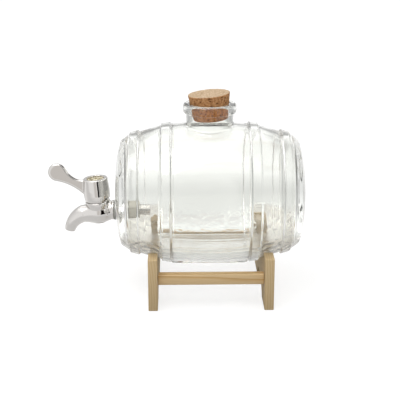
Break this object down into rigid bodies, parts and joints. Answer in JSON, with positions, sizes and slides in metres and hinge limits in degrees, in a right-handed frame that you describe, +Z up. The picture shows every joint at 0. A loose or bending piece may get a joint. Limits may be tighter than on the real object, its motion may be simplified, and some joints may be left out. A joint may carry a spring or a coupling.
{
  "type": "glass barrel drink dispenser",
  "caption": "Glass barrel drink dispenser lying on a pine cradle, with a quarter-turn chrome tap in one end and a cork in the neck on top.",
  "frame": {"origin": "middle of the object's footprint, on the surface that the cradle stands on", "axes": "+X along the barrel away from the tap, +Y to the rear, +Z up"},
  "size_m": [0.2214, 0.1238, 0.1772],
  "materials": {
    "glass": "clear pressed glass",
    "cork": "natural cork",
    "pine": "sanded unvarnished pine",
    "chrome_plate": "chrome plating on moulded plastic",
    "clear_silicone": "translucent silicone",
    "grey_plastic": "moulded grey plastic",
    "cream_plastic": "moulded cream plastic",
    "black_rubber": "black rubber",
    "spring_steel": "spring steel"
  },
  "bodies": {
    "stand": {"cradle_board_left": "pine", "cradle_board_right": "pine", "cradle_rail_front": "pine", "cradle_rail_rear": "pine", "rail_dowel_front_left": "pine", "rail_dowel_front_right": "pine", "rail_dowel_rear_left": "pine", "rail_dowel_rear_right": "pine"},
    "barrel": {"glass_barrel": "glass", "tap_body": "chrome_plate", "tap_washer_outer": "clear_silicone", "tap_washer_inner": "clear_silicone", "tap_lock_nut": "grey_plastic", "plug_retaining_ring": "spring_steel"},
    "lever": {"tap_lever": "chrome_plate", "valve_plug": "cream_plastic", "plug_o_ring_upper": "black_rubber", "plug_o_ring_lower": "black_rubber"},
    "cork": {"cork_stopper": "cork"}
  },
  "joints": [
    {"name": "barrel_lift", "type": "slide", "parent": "stand", "child": "barrel", "axis": [0, 0, 1], "range_m": [0, 0.06]},
    {"name": "lever_turn", "type": "hinge", "parent": "barrel", "child": "lever", "pos_m": [-0.06757, 0, 0.07025], "axis": [-0.0785, 0, 0.9969], "range_deg": [-90, 0]},
    {"name": "cork_pull", "type": "slide", "parent": "barrel", "child": "cork", "axis": [-0.0872, 0, 0.9962], "range_m": [0, 0.04]}
  ]
}
